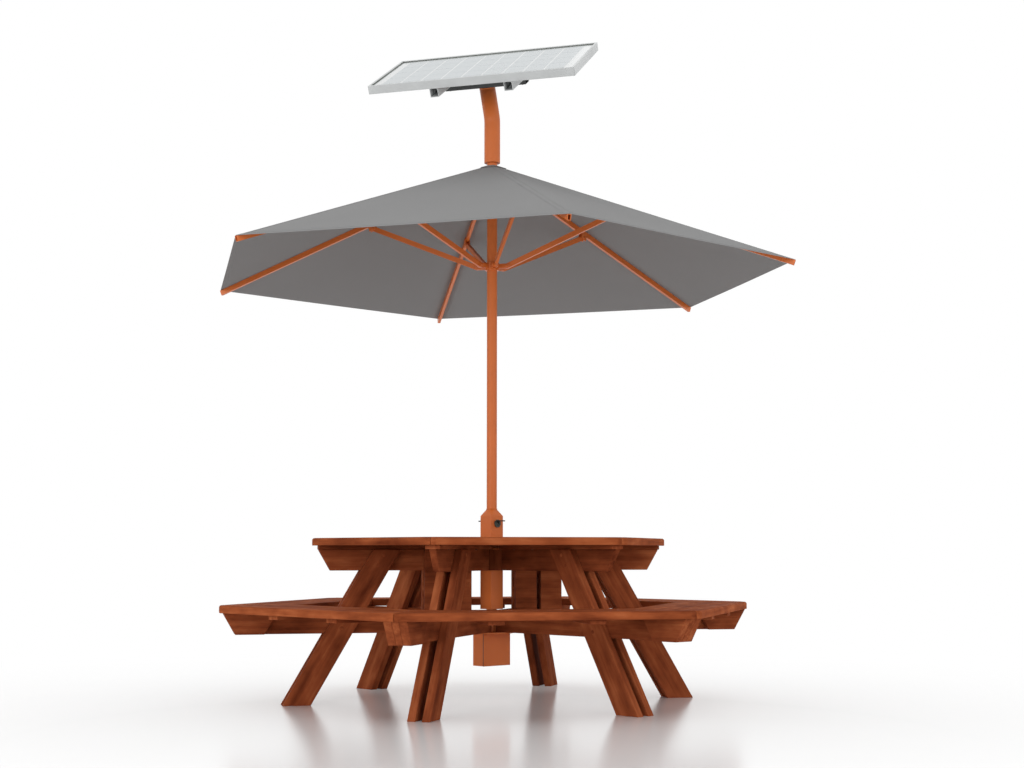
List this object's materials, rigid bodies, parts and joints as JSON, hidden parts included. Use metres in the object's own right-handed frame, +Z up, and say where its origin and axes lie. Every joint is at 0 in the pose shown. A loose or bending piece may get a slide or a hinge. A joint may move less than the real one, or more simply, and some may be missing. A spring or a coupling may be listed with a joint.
{
  "type": "solar picnic table",
  "caption": "Hexagonal timber picnic table with joined benches, a folding parasol on a central post, a tilted solar panel on top and USB charging sockets.",
  "frame": {"origin": "on the floor under the centre of the post", "axes": "+Z up, -Y the way the solar panel faces, +X along one bench's middle line"},
  "size_m": [2.876, 2.5028, 3.1233],
  "materials": {
    "stained_planks": "satin",
    "stained_frame_timber": "satin",
    "orange_paint": "satin",
    "dark_paint": "satin",
    "hub_alloy": "powder coat",
    "rib_alloy": "powder coat",
    "panel_alloy": "satin",
    "grey_fabric": "matte",
    "cell_glass": "gloss",
    "dark_plastic": "matte"
  },
  "bodies": {
    "stand": {"tabletop_sector_1": "stained_planks", "tabletop_sector_2": "stained_planks", "tabletop_sector_3": "stained_planks", "tabletop_sector_4": "stained_planks", "tabletop_sector_5": "stained_planks", "tabletop_sector_6": "stained_planks", "tabletop_center": "stained_planks", "bench_side_1": "stained_planks", "bench_side_2": "stained_planks", "bench_side_3": "stained_planks", "bench_side_4": "stained_planks", "bench_side_5": "stained_planks", "bench_side_6": "stained_planks", "tabletop_battens": "stained_frame_timber", "bench_cleats": "stained_frame_timber", "top_beams": "stained_frame_timber", "seat_beams": "stained_frame_timber", "top_beam_blocks": "stained_frame_timber", "seat_beam_cheeks": "stained_frame_timber", "upright_boards": "stained_frame_timber", "leg_1": "stained_frame_timber", "leg_2": "stained_frame_timber", "leg_3": "stained_frame_timber", "leg_4": "stained_frame_timber", "leg_5": "stained_frame_timber", "leg_6": "stained_frame_timber", "post": "orange_paint", "post_stub": "orange_paint", "pole": "orange_paint", "battery_box": "orange_paint", "battery_box_cover": "orange_paint", "bent_tube": "orange_paint", "hub_plates": "orange_paint", "crown_hub": "hub_alloy", "canopy_fabric": "grey_fabric", "panel_frame": "panel_alloy", "panel_rails": "panel_alloy", "cross_bar": "dark_paint", "panel_laminate": "cell_glass", "panel_junction_box": "dark_plastic", "usb_sockets": "dark_plastic", "charge_controller": "dark_plastic", "battery": "dark_plastic"},
    "runner": {"runner_hub": "hub_alloy"},
    "rib_arm_1": {"rib_1": "rib_alloy"},
    "strut_arm_1": {"strut_1": "rib_alloy"},
    "rib_arm_2": {"rib_2": "rib_alloy"},
    "strut_arm_2": {"strut_2": "rib_alloy"},
    "rib_arm_3": {"rib_3": "rib_alloy"},
    "strut_arm_3": {"strut_3": "rib_alloy"},
    "rib_arm_4": {"rib_4": "rib_alloy"},
    "strut_arm_4": {"strut_4": "rib_alloy"},
    "rib_arm_5": {"rib_5": "rib_alloy"},
    "strut_arm_5": {"strut_5": "rib_alloy"},
    "rib_arm_6": {"rib_6": "rib_alloy"},
    "strut_arm_6": {"strut_6": "rib_alloy"},
    "flap_front": {"usb_flap_front": "dark_plastic"},
    "flap_back": {"usb_flap_back": "dark_plastic"}
  },
  "joints": [
    {"name": "runner_slide", "type": "slide", "parent": "stand", "child": "runner", "axis": [0, 0, -1], "range_m": [0, 0.7324], "deforming": ["canopy_fabric"]},
    {"name": "rib_hinge_1", "type": "hinge", "parent": "stand", "child": "rib_arm_1", "pos_m": [0.05, 0, 2.504], "axis": [0, 1, 0], "range_deg": [0, 63.4]},
    {"name": "strut_hinge_1", "type": "hinge", "parent": "rib_arm_1", "child": "strut_arm_1", "pos_m": [0.61462, 0, 2.26396], "axis": [0, 1, 0], "range_deg": [-129.52, 0]},
    {"name": "rib_hinge_2", "type": "hinge", "parent": "stand", "child": "rib_arm_2", "pos_m": [0.025, 0.0433, 2.504], "axis": [-0.866, 0.5, 0], "range_deg": [0, 63.4]},
    {"name": "strut_hinge_2", "type": "hinge", "parent": "rib_arm_2", "child": "strut_arm_2", "pos_m": [0.30731, 0.53228, 2.26396], "axis": [-0.866, 0.5, 0], "range_deg": [-129.52, 0]},
    {"name": "rib_hinge_3", "type": "hinge", "parent": "stand", "child": "rib_arm_3", "pos_m": [-0.025, 0.0433, 2.504], "axis": [-0.866, -0.5, 0], "range_deg": [0, 63.4]},
    {"name": "strut_hinge_3", "type": "hinge", "parent": "rib_arm_3", "child": "strut_arm_3", "pos_m": [-0.30731, 0.53228, 2.26396], "axis": [-0.866, -0.5, 0], "range_deg": [-129.52, 0]},
    {"name": "rib_hinge_4", "type": "hinge", "parent": "stand", "child": "rib_arm_4", "pos_m": [-0.05, 0, 2.504], "axis": [0, -1, 0], "range_deg": [0, 63.4]},
    {"name": "strut_hinge_4", "type": "hinge", "parent": "rib_arm_4", "child": "strut_arm_4", "pos_m": [-0.61462, 0, 2.26396], "axis": [0, -1, 0], "range_deg": [-129.52, 0]},
    {"name": "rib_hinge_5", "type": "hinge", "parent": "stand", "child": "rib_arm_5", "pos_m": [-0.025, -0.0433, 2.504], "axis": [0.866, -0.5, 0], "range_deg": [0, 63.4]},
    {"name": "strut_hinge_5", "type": "hinge", "parent": "rib_arm_5", "child": "strut_arm_5", "pos_m": [-0.30731, -0.53228, 2.26396], "axis": [0.866, -0.5, 0], "range_deg": [-129.52, 0]},
    {"name": "rib_hinge_6", "type": "hinge", "parent": "stand", "child": "rib_arm_6", "pos_m": [0.025, -0.0433, 2.504], "axis": [0.866, 0.5, 0], "range_deg": [0, 63.4]},
    {"name": "strut_hinge_6", "type": "hinge", "parent": "rib_arm_6", "child": "strut_arm_6", "pos_m": [0.30731, -0.53228, 2.26396], "axis": [0.866, 0.5, 0], "range_deg": [-129.52, 0]},
    {"name": "flap_front_hinge", "type": "hinge", "parent": "stand", "child": "flap_front", "pos_m": [0.04027, -0.02325, 0.831], "axis": [0.5, 0.866, 0], "range_deg": [0, 90]},
    {"name": "flap_back_hinge", "type": "hinge", "parent": "stand", "child": "flap_back", "pos_m": [-0.04027, 0.02325, 0.831], "axis": [-0.5, -0.866, 0], "range_deg": [0, 90]}
  ],
  "couplings": [
    {"joint": "rib_hinge_1", "follows": "runner_slide", "rad_per_m": 1.5096},
    {"joint": "strut_hinge_1", "follows": "runner_slide", "rad_per_m": -3.0852},
    {"joint": "rib_hinge_2", "follows": "runner_slide", "rad_per_m": 1.5096},
    {"joint": "strut_hinge_2", "follows": "runner_slide", "rad_per_m": -3.0852},
    {"joint": "rib_hinge_3", "follows": "runner_slide", "rad_per_m": 1.5096},
    {"joint": "strut_hinge_3", "follows": "runner_slide", "rad_per_m": -3.0852},
    {"joint": "rib_hinge_4", "follows": "runner_slide", "rad_per_m": 1.5096},
    {"joint": "strut_hinge_4", "follows": "runner_slide", "rad_per_m": -3.0852},
    {"joint": "rib_hinge_5", "follows": "runner_slide", "rad_per_m": 1.5096},
    {"joint": "strut_hinge_5", "follows": "runner_slide", "rad_per_m": -3.0852},
    {"joint": "rib_hinge_6", "follows": "runner_slide", "rad_per_m": 1.5096},
    {"joint": "strut_hinge_6", "follows": "runner_slide", "rad_per_m": -3.0852}
  ]
}
